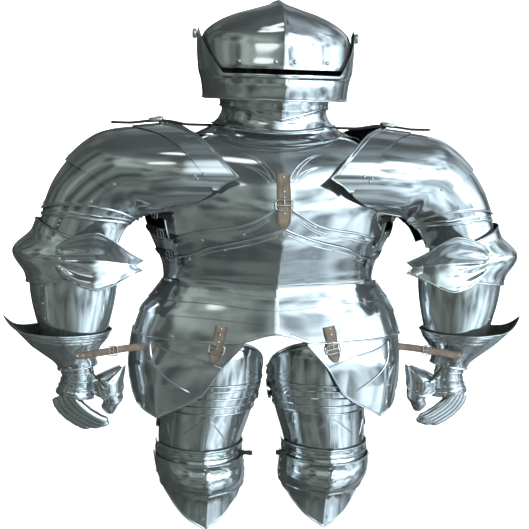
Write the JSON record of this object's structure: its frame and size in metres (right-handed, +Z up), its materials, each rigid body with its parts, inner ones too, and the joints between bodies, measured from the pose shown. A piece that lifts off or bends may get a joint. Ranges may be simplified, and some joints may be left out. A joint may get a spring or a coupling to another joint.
{
  "type": "suit of plate armour",
  "caption": "Polished steel field armour from visored helmet to knees, with pauldrons, winged couters, flared gauntlets, tassets and leather straps",
  "frame": {"origin": "Between the shoulders at the base of the neck, where the harness hangs on its wearer; +Z up, the wearer's face towards -Y, the wearer's left side at +X.", "axes": "+X to the wearer's left, +Y behind the wearer, +Z up"},
  "size_m": [1.294, 0.4321, 1.256],
  "materials": {
    "polished_steel_body": "polished",
    "polished_steel_helmet": "polished",
    "polished_steel_limbs": "polished",
    "leather_strap": "matte"
  },
  "bodies": {
    "harness": {"backplate": "polished_steel_body", "bevor": "polished_steel_body", "breastplate": "polished_steel_body", "chest_strap": "leather_strap", "collar": "polished_steel_body", "couter_left": "polished_steel_limbs", "couter_right": "polished_steel_limbs", "couter_wing_left": "polished_steel_limbs", "couter_wing_right": "polished_steel_limbs", "cuff_left": "polished_steel_limbs", "cuff_right": "polished_steel_limbs", "cuisse_lames_left": "polished_steel_limbs", "cuisse_lames_right": "polished_steel_limbs", "cuisse_left": "polished_steel_limbs", "cuisse_right": "polished_steel_limbs", "cuisse_top_left": "polished_steel_limbs", "cuisse_top_right": "polished_steel_limbs", "culet": "polished_steel_body", "fauld_1": "polished_steel_body", "fauld_2": "polished_steel_body", "fauld_3": "polished_steel_body", "fingers_left": "polished_steel_limbs", "fingers_right": "polished_steel_limbs", "gorget": "polished_steel_body", "greave_lame_left": "polished_steel_limbs", "greave_lame_right": "polished_steel_limbs", "hand_left": "polished_steel_limbs", "hand_right": "polished_steel_limbs", "knee_lames_left": "polished_steel_limbs", "knee_lames_right": "polished_steel_limbs", "pauldron_cap_left": "polished_steel_limbs", "pauldron_cap_right": "polished_steel_limbs", "pauldron_front_left": "polished_steel_limbs", "pauldron_front_right": "polished_steel_limbs", "pauldron_lame_left": "polished_steel_limbs", "pauldron_lame_right": "polished_steel_limbs", "pivot_left": "polished_steel_helmet", "pivot_right": "polished_steel_helmet", "plackart_lower": "polished_steel_body", "plackart_upper": "polished_steel_body", "poleyn_left": "polished_steel_limbs", "poleyn_right": "polished_steel_limbs", "rerebrace_left": "polished_steel_limbs", "rerebrace_right": "polished_steel_limbs", "shoulder_strap_left": "leather_strap", "shoulder_strap_right": "leather_strap", "skull": "polished_steel_helmet", "tasset_left": "polished_steel_limbs", "tasset_right": "polished_steel_limbs", "tasset_strap_left": "leather_strap", "tasset_strap_right": "leather_strap", "thumb_left": "polished_steel_limbs", "thumb_right": "polished_steel_limbs", "vambrace_left": "polished_steel_limbs", "vambrace_right": "polished_steel_limbs", "wrist_strap_left": "leather_strap", "wrist_strap_right": "leather_strap"},
    "visor": {"visor": "polished_steel_helmet"}
  },
  "joints": [
    {"name": "visor_pivot", "type": "hinge", "parent": "harness", "child": "visor", "pos_m": [0, 0, 0.213], "axis": [-1, 0, 0], "range_deg": [0, 55]}
  ]
}
